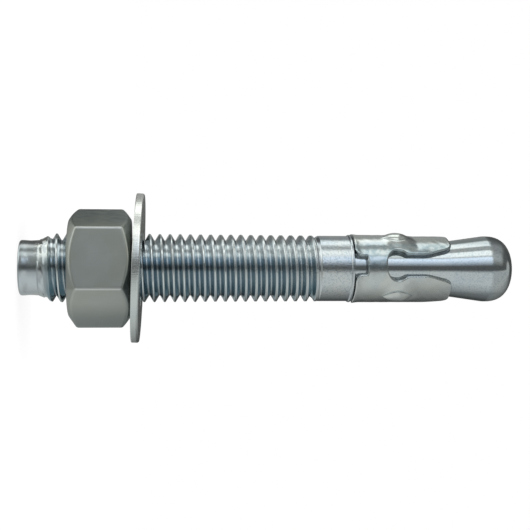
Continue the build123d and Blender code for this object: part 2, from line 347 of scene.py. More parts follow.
def sew(name, grids):
    """One closed mesh object of all grids: equal points are merged and faces turned outwards."""
    points, quads, count = [], [], 0
    for grid in grids:
        rows, columns = grid.shape[:2]
        corner = count + np.arange(rows * columns).reshape(rows, columns)
        ring = (corner[:-1, :-1], corner[:-1, 1:], corner[1:, 1:], corner[1:, :-1])
        quads.append(np.stack(ring, axis=-1).reshape(-1, 4))
        points.append(grid.reshape(-1, 3))
        count += rows * columns
    points, quads = np.concatenate(points), np.concatenate(quads)
    mesh = bpy.data.meshes.new(name)
    mesh.from_pydata(points, [], quads, shade_flat=False)
    work = bmesh.new()
    work.from_mesh(mesh)
    bmesh.ops.remove_doubles(work, verts=work.verts, dist=WELD)
    bmesh.ops.recalc_face_normals(work, faces=work.faces)
    work.to_mesh(mesh)
    work.free()
    thing = bpy.data.objects.new(name, mesh)
    bpy.context.scene.collection.objects.link(thing)
    return thing


def fit_out(name, grids, node, body, finish):
    """Sews a piece that stands for a CAD node, rides on its body and wears its finish."""
    thing = sew(name, grids)
    thing.data.materials.append(finish)
    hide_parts(node)
    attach(thing, body)
    return {"FINISHED"}


# ---- Stud ----
def helix_grid(angles, size, phases, low, high):
    """Heights of rows that climb with the thread: z = w + pitch a / 2 pi, held in low..high."""
    first, last = math.floor(low / size.pitch) - 2, math.ceil(high / size.pitch) + 1
    rows = (np.arange(first, last)[:, None] * size.pitch + phases + size.thread_offset).ravel()
    return np.clip(rows[:, None] + size.pitch * angles / TAU, low, high)


def from_root(angles, height, size):
    """Distance along the axis from the nearest groove's bottom."""
    turn = (height - size.thread_offset) / size.pitch - angles / TAU
    return np.abs((turn + 0.5) % 1 - 0.5) * size.pitch


def mirrored(side, pitch):
    """Rows of half a turn, repeated backwards from the crest to the next groove."""
    side = np.array(side) * MM
    return np.concatenate([side, [pitch / 2], pitch - side[:0:-1]])


def stud_phases(size):
    """Rows of one turn, closer together at the groove's bottom and at the crest's corners."""
    corner = (size.pitch - size.crest_flat) / 2 / MM
    bottom = [0, 0.06, 0.09, 0.12, 0.16, 0.24, 0.5]
    top = corner + np.array([-0.16, -0.08, 0, 0.06, 0.11, 0.15])
    return mirrored([*bottom, *top], size.pitch)


def stud_thread(size, angles):
    """Thread as a radius over angle and height.

    The flank rises by sqrt(3) a, with a the distance from the groove's middle. It is softly
    held above the flat at the groove's bottom, capped at the crest, kept under a cone where
    the thread starts and ends, and never below the run-in's flare or the run-out's slope.
    Past the nut the crests are lower, and patches of them keep the fold that rolling leaves.
    """
    height = helix_grid(angles, size, stud_phases(size), size.thread_start, size.thread_end)
    angle = np.broadcast_to(angles, height.shape)
    away = from_root(angle, height, size)
    uneven = hammered(angle, height, scale=7 * MM)
    past_nut = np.clip((height - NUT_HIGH) / (size.full_end - NUT_HIGH), 0, 1)
    crest = size.major_radius - size.crest_fade * past_nut + size.unevenness * (uneven - 1)
    slope = math.sqrt(3)
    flank = soft_max(slope * away, slope * size.root_flat / 2, size.root_rounding)
    radius = soft_min(size.root_radius + flank, crest, size.crest_rounding * (0.8 + past_nut))
    patches = hammered(angle * 0.5, height, scale=31 * MM)
    folded = ease(2.2 * past_nut - 0.1 + 1.6 * patches)
    radius -= size.seam_depth * folded * bell((size.pitch / 2 - away) / size.seam_half)
    up = (height - size.thread_start) / (size.full_start - size.thread_start)
    down = (height - size.full_end) / (size.thread_end - size.full_end)
    cap = size.dog_radius + up * (size.major_radius - size.dog_radius)
    end_cap = size.major_radius + down * (size.collar_radius - size.major_radius)
    radius = soft_min(radius, cap, size.start_rounding)
    radius = np.minimum(radius, np.maximum(end_cap, size.collar_radius))
    swell = bell((height - size.thread_start - size.flare_middle) / size.flare_half)
    swell = np.minimum(size.flare * swell * (1 + 0.5 * uneven), size.flare_limit)
    run_in = size.dog_radius + swell - size.flare_fall * ease(up - 1)
    run_out = size.root_radius + down * (size.collar_radius - size.root_radius)
    radius = np.maximum(radius, np.where(up < 3, run_in, 0))
    radius = np.maximum(radius, np.where(down > 0, run_out, 0))
    radius = np.where(height <= size.thread_start, size.dog_radius, radius)
    radius = np.where(height >= size.thread_end, size.collar_radius, radius)
    return placed(radius, angles, height)


def driving_end(size, angles):
    """Plain driving end, waisted a little, with hammer marks that fade out at its edge."""
    edge, radius = size.dog_edge, size.dog_radius
    foot = rounded([(0, 0), (radius, 0), (radius, size.thread_start)], [edge], steps=6)
    side = upright(radius, np.linspace(edge, size.thread_start, 12)[1:])
    line = np.concatenate([foot[:-1], side])
    angle, height = np.broadcast_arrays(angles, line[:, 1, None])
    share = (height - edge) / (size.thread_start - edge)
    waist = size.dog_waist * bell(2 * share - 1) * (share > 0)
    marks = size.dog_marks * hammered(angle, height, scale=5 * MM) * ease(height / edge - 0.4)
    marks *= 1 - ease((share - 0.8) / 0.2)
    radii = line[:, 0, None] - waist + marks * (line[:, 0, None] > 0.6 * radius)
    return placed(radii, angles, height)


def upper_stud(size, angles):
    """Collar, neck, cone and dome: rounded corners, then a cubic Bezier to the pole.

    The dome's points are (1-t)^3 a + 3t(1-t)^2 b + 3t^2(1-t) c + t^3 d.
    """
    lip = size.collar_radius + size.lip_height
    corners = [
        (size.collar_radius, size.thread_end),
        (size.collar_radius, size.collar_end - size.lip_length),
        (lip, size.collar_end - size.lip_length + size.lip_height),
        (lip, size.collar_end),
        (size.neck_radius, size.collar_end),
        (size.neck_radius, size.cone_start),
        (size.cone_radius, size.cone_end),
        (size.cone_radius, size.dome_start),
    ]
    cuts = np.array([0.12, 0.12, 0.12, 0.4, 1.5, 0.39]) * MM
    turned = rounded(corners, cuts, steps=6)
    full, tall = size.dome_fullness, STUD_TOP - size.dome_start
    a, b, c, d = np.array([
        (size.cone_radius, size.dome_start),
        (size.cone_radius, size.dome_start + full * tall),
        (full * size.cone_radius, STUD_TOP),
        (0, STUD_TOP),
    ])
    t = np.linspace(0, 1, 33)[1:, None]
    dome = (1 - t) ** 3 * a + 3 * t * (1 - t) ** 2 * b + 3 * t**2 * (1 - t) * c + t**3 * d
    return revolved(np.concatenate([turned, dome]), angles)


# ---- Nut ----
def hexagon(apothem, rounding, angle):
    """Radius of a hexagon whose corners are arcs, at angles measured from a corner.

    A flat side is apothem / cos b, with b the angle from the side's middle. Within reach of
    a corner it is c cos d + sqrt(r^2 - c^2 sin^2 d), with c the arc's centre and d the angle
    from the corner.
    """
    sixth = TAU / 6
    from_corner = np.abs((angle + sixth / 2) % sixth - sixth / 2)
    flat = apothem / np.cos(sixth / 2 - from_corner)
    centre = (apothem - rounding) / math.cos(sixth / 2)
    reach = sixth / 2 - math.atan((apothem - rounding) * math.tan(sixth / 2) / apothem)
    inside = np.maximum(rounding**2 - (centre * np.sin(from_corner)) ** 2, 0)
    arc = centre * np.cos(from_corner) + np.sqrt(inside)
    return np.where(from_corner < reach, arc, flat)


def nut_angles(size):
    """Columns gathered at the six corners: half a side is 30 degrees times a sine."""
    sixth = TAU / 6
    share = np.sin(np.linspace(-0.5, 0.5, size.steps + 1)[:-1] * math.pi)
    middles = (np.arange(6) + 0.5) * sixth
    angles = (middles[:, None] + share * sixth / 2).ravel()
    return size.turn + np.append(angles, angles[0] + TAU)


def nut_outside(size, angles):
    """Both faces, their chamfer cones and the six sides, as one line for every column."""
    side = hexagon(size.apothem, size.corner_rounding, angles - size.turn)
    drop = (side - size.chamfer_radius) * math.tan(size.chamfer_slope)
    corners = [
        (size.sink_radius, NUT_LOW),
        (size.chamfer_radius, NUT_LOW),
        (side, NUT_LOW + drop),
        (side, NUT_HIGH - drop),
        (size.chamfer_radius, NUT_HIGH),
        (size.sink_radius, NUT_HIGH),
    ]
    return revolved(rounded(corners, [size.edge_rounding] * 4), angles)


def nut_bore(size, stud, angles):
    """Threaded hole in step with the stud: flanks between the two radii, opened by 45 degree
    countersinks."""
    crest = (stud.pitch - stud.crest_flat) / 2
    outer = stud.major_radius + size.allowance
    land = crest - (outer - size.minor_radius) / math.sqrt(3)
    phases = mirrored([0, land / MM, 0.6, 0.8, crest / MM], stud.pitch)
    height = helix_grid(angles, stud, phases, NUT_LOW, NUT_HIGH)
    away = from_root(np.broadcast_to(angles, height.shape), height, stud)
    radius = size.minor_radius + (away - land) * math.sqrt(3)
    radius = np.clip(radius, size.minor_radius, outer)
    nearest_face = np.minimum(height - NUT_LOW, NUT_HIGH - height)
    return placed(np.maximum(radius, size.sink_radius - nearest_face), angles, height)


# ---- Washer ----
def washer_ring(size, bearing_radius):
    """Stamped ring: a closed line with one well rounded edge, carried round the axis.

    It leans: it is turned about its foot on the edge of the nut's bearing face, then moved
    sideways to the middle again.
    """
    low, high = WASHER_BOX[0].z, WASHER_BOX[1].z
    middle = (low + high) / 2
    corners = [
        (size.hole_radius, middle),
        (size.hole_radius, low),
        (size.radius, low),
        (size.radius, high),
        (size.hole_radius, high),
        (size.hole_radius, middle),
    ]
    cuts = [size.edge, size.edge, size.rollover, size.edge * 1.5]
    ring = revolved(rounded(corners, cuts, steps=6), around(size.columns))
    towards = Vector((math.cos(size.lean_foot), math.sin(size.lean_foot), 0))
    turned = Matrix.Rotation(size.lean, 3, Vector((0, 0, 1)).cross(towards))
    foot = np.array(towards * bearing_radius) + (0, 0, low)
    ring = (ring - foot) @ np.array(turned).T + foot
    sideways = (ring.max(axis=(0, 1)) + ring.min(axis=(0, 1))) / 2
    sideways[2] = 0
    return ring - sideways


# ---- Expansion clip ----
def notch_edge(size):
    """Half width over height of the notch: a rounded mouth, then a flattened arch."""
    shoulder = size.notch_depth - size.notch_arch
    mouth = rounded(
        [
            (size.notch_half + 1.6 * size.notch_rounding, 0),
            (size.notch_half, 0),
            (size.notch_half, shoulder),
        ],
        [size.notch_rounding],
        steps=12,
    )
    t = np.linspace(0, math.pi / 2, 13)[1:]
    arch = np.stack([
        size.notch_half * np.cos(t) ** 0.35, shoulder + size.notch_arch * np.sin(t) ** 0.7
    ], axis=-1)
    arch[-1, 0] = 0
    return [mouth, arch]


def band_edge(low, high):
    """Half width, which is none, over height of the closed band between a notch and a slot."""
    near = np.array([0.06, 0.14, 0.24, 0.4, 1.0]) * MM
    inner = np.linspace(low + 1.6 * MM, high - 1.6 * MM, 4)
    return upright(0, np.concatenate([low + near, inner, high - near[::-1]]))


def slot_edge(size):
    """Half width over height of a slot: an ellipse, a straight throat and a leaning mouth."""
    throat = math.acos(-math.sqrt(1 - (size.slot_half / size.bulb_half) ** 2))
    turn = np.linspace(0, 1, 26) * (throat - 0.12)
    bulb = np.stack([
        size.bulb_half * np.sin(turn),
        size.bulb_middle - size.bulb_reach * np.cos(turn),
    ], axis=-1)
    neck = size.bulb_middle - size.bulb_reach * math.cos(throat)
    tip = CLIP_HIGH - CLIP_LOW
    opening = rounded(
        [
            tuple(bulb[-1]),
            (size.slot_half, neck + 0.25 * MM),
            (size.slot_half, size.slot_opens),
            (size.mouth_half, tip),
            (size.mouth_half + size.tip_rounding * 1.5, tip),
        ],
        [0.55 * MM, 1.4 * MM, size.tip_rounding],
        steps=9,
    )[1:]
    straight = np.linspace(neck + 1.2 * MM, size.slot_opens - 1.8 * MM, 8)
    leaning = np.linspace(size.slot_opens + 1.8 * MM, tip - size.tip_rounding - 0.1 * MM, 8)
    slope = (size.mouth_half - size.slot_half) / (tip - size.slot_opens)
    widening = np.stack([size.slot_half + slope * (leaning - size.slot_opens), leaning], axis=-1)
    return [bulb, opening, upright(size.slot_half, straight), widening]


def wing_edge(size):
    """Half width over height of all that lies between two wings, from rim to rim."""
    foot = size.bulb_middle - size.bulb_reach
    parts = [*notch_edge(size), band_edge(size.notch_depth, foot), *slot_edge(size)]
    edge = np.concatenate(parts)
    return edge[np.argsort(edge[:, 1], kind="stable")]


def border_distance(along, height, edges, steps=4):
    """Distance of every surface point from the nearest point of the wing's outline."""
    outline = np.concatenate([
        edge[:-1] + (edge[1:] - edge[:-1]) * share
        for edge in edges
        for share in np.arange(steps)[:, None, None] / steps
    ])
    points = np.stack([along, height], axis=-1).reshape(-1, 1, 2)
    lots = np.array_split(points, len(points) // 2000 + 1)
    nearest = [np.linalg.norm(lot - outline, axis=-1).min(axis=1) for lot in lots]
    return np.concatenate(nearest).reshape(height.shape)


def wing_skin(size, offset, height, border):
    """Outer radius over a wing: the sheet's radius less its fall at the rounded edges.

    The rim's flare and the bump add to it and the pressing takes from it. The fall is a quarter
    circle, a bump is a wide bell under a lens that two crossing parabolas bound, and the
    pressing is strongest along the wing's middle line.
    """
    inward = np.maximum(size.edge - border, 0)
    fall = size.edge - np.sqrt(np.maximum(size.edge**2 - inward**2, 0))
    flare = size.flare * np.maximum(1 - height / size.flare_length, 0) ** 1.5
    across = offset * size.outer_radius / size.bump_half_width
    upward = (height - size.bump_position) / size.bump_half_length
    swell = bell(np.minimum(np.hypot(across, upward) / 1.15, 1))
    reach = np.maximum(1 - upward**2, 1e-6)
    lens = reach * np.maximum(1 - (across * LENS_TAPER / reach) ** 2, 0)
    bump = (1 - size.bump_crest) * swell + size.bump_crest * np.minimum(lens, 1) ** 0.8
    pressed = ease((height - size.pressing_start) / (3.5 * MM))
    pressed = pressed * np.maximum(1 - (offset / size.pressing_half) ** 2, 0)
    return (size.outer_radius - fall + flare + size.bump_height * bump
            - size.pressing * pressed)


def clip_wing(size, stud, wing):
    """Grids of one wing: outer skin, inner skin, the two rims and the cut faces.

    Row by row, the wing runs from one slot's edge to the next: a = middle + u (60 deg - h),
    where h is the slot's half angle at that height. Between a notch and a slot the wings are
    one sheet, except along the seam, so there is no cut face there.
    """
    edge = wing_edge(size)
    rise = edge[:, 1]
    middle_radius = (size.inner_radius + size.outer_radius) / 2
    half_step = TAU / size.wings / 2
    closed = np.flatnonzero(edge[:, 0] == 0)
    rows = np.arange(len(rise))
    sides, cuts = [], []
    for seamed in (wing == 1, wing == 0):
        half = np.maximum(edge[:, 0], size.seam_half if seamed else 0)
        sides.append(half_step - np.arctan(half / middle_radius))
        cuts.append([rows] if seamed else [rows[:closed[0] + 1], rows[closed[-1]:]])
    t = np.linspace(-1, 1, size.columns)
    spread = 0.62 * np.sin(t * math.pi / 2) + 0.38 * t     # closer together at the cut faces
    offset = np.where(spread < 0, spread * sides[0][:, None], spread * sides[1][:, None])
    height = np.broadcast_to(rise[:, None], offset.shape)
    along = offset * middle_radius
    outlines = [
        np.stack([along[part, column], rise[part]], axis=-1)
        for column, parts in zip((0, -1), cuts)
        for part in parts
    ]
    for row in (0, -1):
        rim = np.linspace(along[row, 0], along[row, -1], 120)
        outlines.append(upright(rise[row], rim)[:, ::-1])
    border = border_distance(along, height, outlines)
    angle = size.first_slot + (2 * wing + 1) * half_step + offset
    level = CLIP_LOW + height
    dents = hammered(angle, level, scale=9 * MM) - 0.5
    inside = ease(border / (0.8 * MM))
    outer = wing_skin(size, offset, height, border) + size.unevenness * dents * inside
    slope = (stud.cone_radius - stud.neck_radius) / (stud.cone_end - stud.cone_start)
    inner = size.inner_radius + np.maximum(level - stud.cone_start, 0) * slope
    wall = placed(inner + np.linspace(0, 1, 4)[:, None, None] * (outer - inner), angle, level)
    return [
        placed(outer, angle, level),
        placed(inner, angle, level),
        *(wall[:, part, column] for column, parts in zip((0, -1), cuts) for part in parts),
        wall[:, 0],
        wall[:, -1],
    ]


# ---- Shader maths ----
class Field:
    """A value that varies over a surface. Operators on it add Math nodes."""

    def __init__(self, shader, socket):
        self.shader = shader
        self.socket = socket

    def math(self, operation, *others):
        return self.shader.node("Math", {"operation": operation}, dict(enumerate((self, *others))))

    def __add__(self, other):
        return self.math("ADD", other)

    def __sub__(self, other):
        return self.math("SUBTRACT", other)

    def __mul__(self, other):
        return self.math("MULTIPLY", other)

    def __truediv__(self, other):
        return self.math("DIVIDE", other)

    def __rsub__(self, other):
        return self * -1 + other

    __radd__ = __add__
    __rmul__ = __mul__

    def rise(self, low, high):
        """0 below low, 1 above high, eased between; falls where low is the larger."""
        return self.shader.node(
            "MapRange",
            {"interpolation_type": "SMOOTHSTEP"},
            {"Value": self, "From Min": low, "From Max": high},
        )


class Shader:
    """Adds nodes to one node tree."""

    def __init__(self, tree):
        self.tree = tree
        tree.nodes.clear()

    def node(self, kind, settings, sockets, output=0):
        """Adds a node of a type: first its settings, then its sockets' values or links."""
        node = self.tree.nodes.new("ShaderNode" + kind)
        for name, value in settings.items():
            if name == "stops":
                self.set_stops(node.color_ramp.elements, value)
            else:
                setattr(node, name, value)
        for key, value in sockets.items():
            if isinstance(value, Field):
                self.tree.links.new(value.socket, node.inputs[key])
            else:
                node.inputs[key].default_value = value
        return Field(self, node.outputs[output]) if node.outputs else None

    @staticmethod
    def set_stops(elements, stops):
        while len(elements) < len(stops):
            elements.new(1.0)
        for element, (place, shade) in zip(elements, stops):
            element.position = place
            element.color = (*shade, 1)

    def place(self):
        """Object coordinates, their x, y and z, and the distance from the axis, in mm."""
        point = self.node("TexCoord", {}, {}, output="Object")
        scaled = self.node("VectorMath", {"operation": "SCALE"}, {0: point, "Scale": 1 / MM})
        x, y, z = (self.node("SeparateXYZ", {}, {0: scaled}, output=i) for i in range(3))
        return scaled, x, y, z, (x * x + y * y).math("SQRT")

    def stretched(self, point, scale):
        return self.node("VectorMath", {"operation": "MULTIPLY"}, {0: point, 1: scale})

    def noise(self, point, scale, detail=3.0, roughness=0.55):
        """Cloudy pattern in 0..1 with features about 1/scale apart."""
        return self.node(
            "TexNoise", {}, {"Vector": point, "Scale": scale, "Detail": detail,
                             "Roughness": roughness},
        )

    def mix(self, share, first, second):
        """Colour between first and second."""
        ends = [c if isinstance(c, Field) else (*c, 1) for c in (first, second)]
        return self.node(
            "Mix", {"data_type": "RGBA"}, {0: share, 6: ends[0], 7: ends[1]}, output=2
        )

    def metal(self, tint, layers, roughness, relief):
        """Metallic surface: layers of (share, colour) over a tint, bumps over one another.

        Relief holds a height, its strength and its depth in millimetres for each bump.
        """
        for share, colour in layers:
            tint = self.mix(share, tint, colour)
        normal = {}
        for height, strength, depth in relief:
            sockets = {"Height": height, "Strength": strength, "Distance": depth * MM}
            normal = {"Normal": self.node("Bump", {}, sockets | normal)}
        sockets = {"Base Color": tint, "Roughness": roughness, "Metallic": 1.0}
        return self.node("BsdfPrincipled", {}, sockets | normal)


def material(name, surface_of, *values):
    """New material; surface_of adds its nodes and gives its surface."""
    made = bpy.data.materials.new(name)
    made.use_nodes = True
    shader = Shader(made.node_tree)
    shader.node("OutputMaterial", {}, {"Surface": surface_of(shader, *values)})
    return made


# ---- Finishes ----
# Places and depths are in millimetres. Painted highlights and painted shade lie on certain sides,
# given by x.
def plating(shader, point, colours, base, share=1.0):
    """Zinc colour that drifts a little between a bluish and a yellowish tint."""
    drift = shader.noise(point, 0.12, detail=2.0)
    cool = shader.mix(drift.rise(0.35, 0.65) * 0.5 * share, base, colours.zinc_blue)
    clouds = shader.noise(point, 0.3, detail=4.0)
    return shader.mix(clouds.rise(0.45, 0.75) * 0.3 * share, cool, colours.zinc_warm)


def stud_zinc(shader, size, colours):
    """Bright zinc: worn thread crests, polished collar and cone; painted shade in the grooves, on
    the driving end, under the clip and on the cone's sides; painted highlights, glints and sheen
    on the upper side.
    """
    point, x, _, z, radius = shader.place()
    first_turn, full_turn = size.thread_start / MM, size.full_start / MM
    collar, shoulder = size.thread_end / MM, size.collar_end / MM
    root_radius, crest_radius = size.root_radius / MM, size.major_radius / MM
    threaded = z.rise(5.0, 7.0) * z.rise(collar - 0.2, collar - 1.2)
    on_collar = z.rise(collar - 0.6, collar + 0.4)

    to_crest = radius + z.rise(25, 65) * (size.crest_fade / MM)
    crest = to_crest.rise(crest_radius - 0.12, crest_radius - 0.01) * threaded
    flank = radius.rise(root_radius + 0.163, root_radius + 0.273) * threaded
    flank = flank * to_crest.rise(crest_radius - 0.06, crest_radius - 0.24)
    # Painted shade in the grooves, lighter on the upper side and heavier on the lower side
    shading = x.rise(-1.5, -5.0) * -0.25 + x.rise(2.5, 5.5) * 0.35 + 0.5
    # Painted highlight strip along the thread's upper side
    highlighted = threaded * x.rise(-2.0, -3.2) * x.rise(-6.4, -4.8)
    crumple = shader.noise(point, 0.8, detail=4.0)
    # The flare's upper side: crumpled there, and painted brighter as a sheen
    flare = z.rise(first_turn - 1.4, first_turn) * z.rise(full_turn, full_turn - 1.4)
    flare = flare * x.rise(-1.0, -4.0)
    scuffs = shader.noise(point, 2.6, detail=5.0, roughness=0.7)
    # Painted glints in frosted patches on the thread's upper side
    glints = threaded * x.rise(-1.0, -4.0) * z.rise(22, 48) * scuffs.rise(0.46, 0.60)
    # Painted shade on a band of the driving end
    end_shading = z.rise(9.0, 7.0) * x.rise(-5.2, -4.4) * x.rise(1.2, 0.2) * 0.35
    # Painted shade on the neck under the clip's upper wing edge
    under_wing_shade = z.rise(shoulder + 1.0, shoulder + 3.0) * z.rise(94.0, 90.0)
    under_wing_shade = under_wing_shade * x.rise(-2.1, -2.7) * 0.5
    # Painted shade near the top and bottom sides of the cone, dome and upper neck
    cone_side_shading = z.rise(91.0, 93.0) * (x.rise(-5.2, -6.0) + x.rise(5.0, 5.8)) * 0.35

    rings = shader.noise(shader.stretched(point, (0.3, 0.3, 7.0)), 1.0, detail=4.0)
    grain = shader.noise(point, 4.0, detail=3.0)
    pits = shader.noise(point, 11.0, detail=2.0)
    rough = 0.11 + rings.rise(0.4, 0.8) * 0.05 + grain.rise(0.4, 0.8) * 0.05
    rough = rough + z.rise(5.5, 3.5) * 0.04 - threaded * 0.02
    rough = rough - z.rise(shoulder + 0.5, shoulder + 2.0) * 0.06
    scuffed = threaded * z.rise(25, 60) + on_collar * z.rise(shoulder + 0.5, shoulder - 0.5) * 0.6
    base = plating(shader, point, colours, colours.zinc)
    layers = [
        (flank * shading, colours.grime_and_shade),
        (highlighted * 0.5, colours.highlight_zinc),
        (crest * 0.5, colours.crest_zinc),
        (flare * crumple.rise(0.42, 0.54), colours.torn_sheen_zinc),
        (glints * 0.7, colours.frost_glint_zinc),
        (scuffs.rise(0.50, 0.60) * on_collar * 0.35, colours.grime_and_shade),
        (end_shading + under_wing_shade + cone_side_shading, colours.painted_shade),
    ]
    return shader.metal(base, layers, rough, [
        (rings, 0.10, 0.02),
        (grain, 0.12, 0.04),
        (pits * threaded, 0.15, 0.03),
        (scuffs * scuffed, 0.40, 0.12),
        (crumple * flare, 0.50, 0.30),
    ])


def nut_zinc(shader, size, colours):
    """Dull zinc, fine grain, scratched flats: painted streaky shade on the top flat, a painted
    sheen low down that turns to painted shade at the bottom, painted shade on the far chamfer, and
    edges worn bright and painted as highlights.

    The edges are found from the distance to a flat's plane and to a chamfer's cone.
    """
    point, x, y, z, radius = shader.place()
    sixth = TAU / 6
    from_flat = (y.math("ARCTAN2", x) - size.turn).math("WRAP", sixth, 0.0) - sixth / 2
    plane = radius * from_flat.math("COSINE")
    depth = (z - NUT_LOW / MM).math("MINIMUM", z * -1 + NUT_HIGH / MM)
    cone = depth / math.tan(size.chamfer_slope) + size.chamfer_radius / MM - radius
    apothem, rounding = size.apothem / MM, size.corner_rounding / MM
    tip = (apothem - rounding) / math.cos(sixth / 2) + rounding
    # Edges and corners, worn bright and painted as highlight lines
    edge = plane.rise(apothem - 0.2, apothem - 0.05) * cone.rise(0.30, 0.12) * 0.45
    corner = radius.rise(tip - 0.16, tip - 0.04)
    fine = shader.noise(shader.stretched(point, (1.0, 1.0, 0.12)), 2.2, detail=4.0)
    scratches = shader.noise(shader.stretched(point, (3.5, 3.5, 0.5)), 0.8, detail=5.0)
    grain = shader.noise(point, 9.0, detail=3.0)
    upper = x.rise(-8.5, -11.5)
    # Painted shade on the far chamfer, towards the washer
    chamfer_shade = cone.rise(0.10, 0.02) * z.rise(19, 21)
    # Painted streaky shade on the top flat, and painted shade towards the lower side
    shading = upper * (scratches.rise(0.40, 0.60) * 0.7 + 0.25) + x.rise(7.0, 12.5) * 0.65
    rough = 0.38 + fine.rise(0.4, 0.7) * 0.06 + grain * 0.05
    rough = rough - scratches.rise(0.55, 0.72) * upper * 0.12
    base = plating(shader, point, colours, colours.nut_zinc, share=0.35)
    layers = [
        # Painted sheen on the lower side
        (x.rise(4.3, 5.0) * 0.35, colours.sheen_and_worn_zinc),
        (chamfer_shade * 0.6, colours.painted_shade),
        (shading, colours.painted_shade),
        (corner.math("MAXIMUM", edge) * 0.8, colours.sheen_and_worn_zinc),
    ]
    return shader.metal(base, layers, rough, [
        (fine, 0.10, 0.03), (scratches * upper, 0.35, 0.05), (grain, 0.10, 0.03)
    ])


def washer_zinc(shader, size, colours):
    """Zinc over a stamped ring, with upright tears along its rim, painted shade towards its lower
    side and a painted highlight on its upper side.
    """
    point, x, _, _, radius = shader.place()
    edge = size.radius / MM
    rim = radius.rise(edge - 0.65, edge - 0.25)
    grain = shader.noise(point, 3.0, detail=4.0)
    tears = shader.noise(shader.stretched(point, (3.0, 3.0, 0.3)), 1.0, detail=4.0)
    rough = 0.16 + grain * 0.12 + rim * 0.04
    base = plating(shader, point, colours, colours.washer_zinc, share=0.5)
    layers = [
        # Painted shade towards the lower side, and a painted highlight on the upper side
        (x.rise(-4.0, 2.0) * 0.34, colours.grime_and_shade),
        (x.rise(-4.0, -7.0) * 0.9, colours.washer_highlight),
    ]
    return shader.metal(base, layers, rough, [(grain, 0.14, 0.05), (tears * rim, 0.30, 0.10)])


def clip_zinc(shader, size, colours):
    """Zinc over a stamped and wrapped strip: bright, with a rolled skin, a few scuffs, a painted
    highlight along its top edge and painted shade on a band below it.

    A fine line runs round each bump, where the press left the sheet; it is cut in and painted dark
    as shade in the crease. There the bump's lens ends, at 1 - upward^2 = taper |across|.
    """
    point, x, y, z, _ = shader.place()
    step = TAU / size.wings
    offset = (y.math("ARCTAN2", x) - size.first_slot).math("WRAP", step, 0.0) - step / 2
    across = offset.math("ABSOLUTE") * (LENS_TAPER * size.outer_radius / size.bump_half_width)
    upward = (z - (CLIP_LOW + size.bump_position) / MM) / (size.bump_half_length / MM)
    within = upward * upward * -1 + 1 - across
    # The line round each bump is painted dark as shade in its crease
    line = within.rise(-0.06, 0.02) * within.rise(0.14, 0.06)
    skin = shader.noise(point, 0.9, detail=5.0)
    scuff = shader.noise(shader.stretched(point, (2.5, 2.5, 0.7)), 1.2, detail=5.0)
    # Painted shade on a band below the clip's top edge
    wing_shade = x.rise(-6.2, -5.2) * x.rise(0.8, -0.8) * (skin.rise(0.40, 0.60) * 0.3 + 0.2)
    rough = 0.15 + skin.rise(0.35, 0.75) * 0.08 + scuff.rise(0.55, 0.75) * 0.08
    rough = rough + x.rise(-2.0, 2.0) * 0.06
    base = plating(shader, point, colours, colours.clip_zinc)
    layers = [
        (line * 0.35, colours.grime_and_shade),
        (wing_shade, colours.grime_and_shade),
        # Painted highlight along the clip's top edge
        (x.rise(-5.9, -6.5) * 0.5, colours.clip_highlight),
    ]
    return shader.metal(base, layers, rough, [
        (skin, 0.13, 0.12), (scuff, 0.08, 0.05), (line * -1, 0.60, 0.10)
    ])


# ---- Operators: pieces ----
class AnchorBuildStud(bpy.types.Operator):
    """Builds the threaded stud with its driving end, collar, neck and cone"""

    bl_idname = "anchor.build_stud"
    bl_label = "Stud"

    def execute(self, context):
        size, colours = context.scene.anchor_stud, context.scene.anchor_colours
        angles = around(size.columns)
        grids = [driving_end(size, angles), stud_thread(size, angles), upper_stud(size, angles)]
        finish = material("stud_zinc", stud_zinc, size, colours)
        return fit_out("threaded_stud", grids, "stud", "stud", finish)


class AnchorBuildNut(bpy.types.Operator):
    """Builds the hex nut with its threaded hole"""

    bl_idname = "anchor.build_nut"
    bl_label = "Hex nut"

    def execute(self, context):
        size, colours = context.scene.anchor_nut, context.scene.anchor_colours
        angles = nut_angles(size)
        grids = [nut_outside(size, angles), nut_bore(size, context.scene.anchor_stud, angles)]
        finish = material("nut_zinc", nut_zinc, size, colours)
        return fit_out("hexagon_nut", grids, "hex_nut", "nut", finish)


class AnchorBuildWasher(bpy.types.Operator):
    """Builds the stamped flat washer"""

    bl_idname = "anchor.build_washer"
    bl_label = "Washer"

    def execute(self, context):
        size, colours = context.scene.anchor_washer, context.scene.anchor_colours
        grids = [washer_ring(size, context.scene.anchor_nut.chamfer_radius)]
        finish = material("washer_zinc", washer_zinc, size, colours)
        return fit_out("stamped_washer", grids, "flat_washer", "washer", finish)


class AnchorBuildClip(bpy.types.Operator):
    """Builds the slotted expansion clip wrapped round the neck"""

    bl_idname = "anchor.build_clip"
    bl_label = "Expansion clip"

    def execute(self, context):
        size, colours = context.scene.anchor_clip, context.scene.anchor_colours
        stud = context.scene.anchor_stud
        grids = [grid for wing in range(size.wings) for grid in clip_wing(size, stud, wing)]
        finish = material("clip_zinc", clip_zinc, size, colours)
        return fit_out("wrapped_clip", grids, "expansion_clip", "clip", finish)


# ---- Stage ----
CARD_TINT = (0.96, 1.00, 0.97)


def grey_card(half_stops):
    """Faintly green card that is so many half stops darker than white."""
    return tuple(tint * 0.5 ** (half_stops / 2) for tint in CARD_TINT)


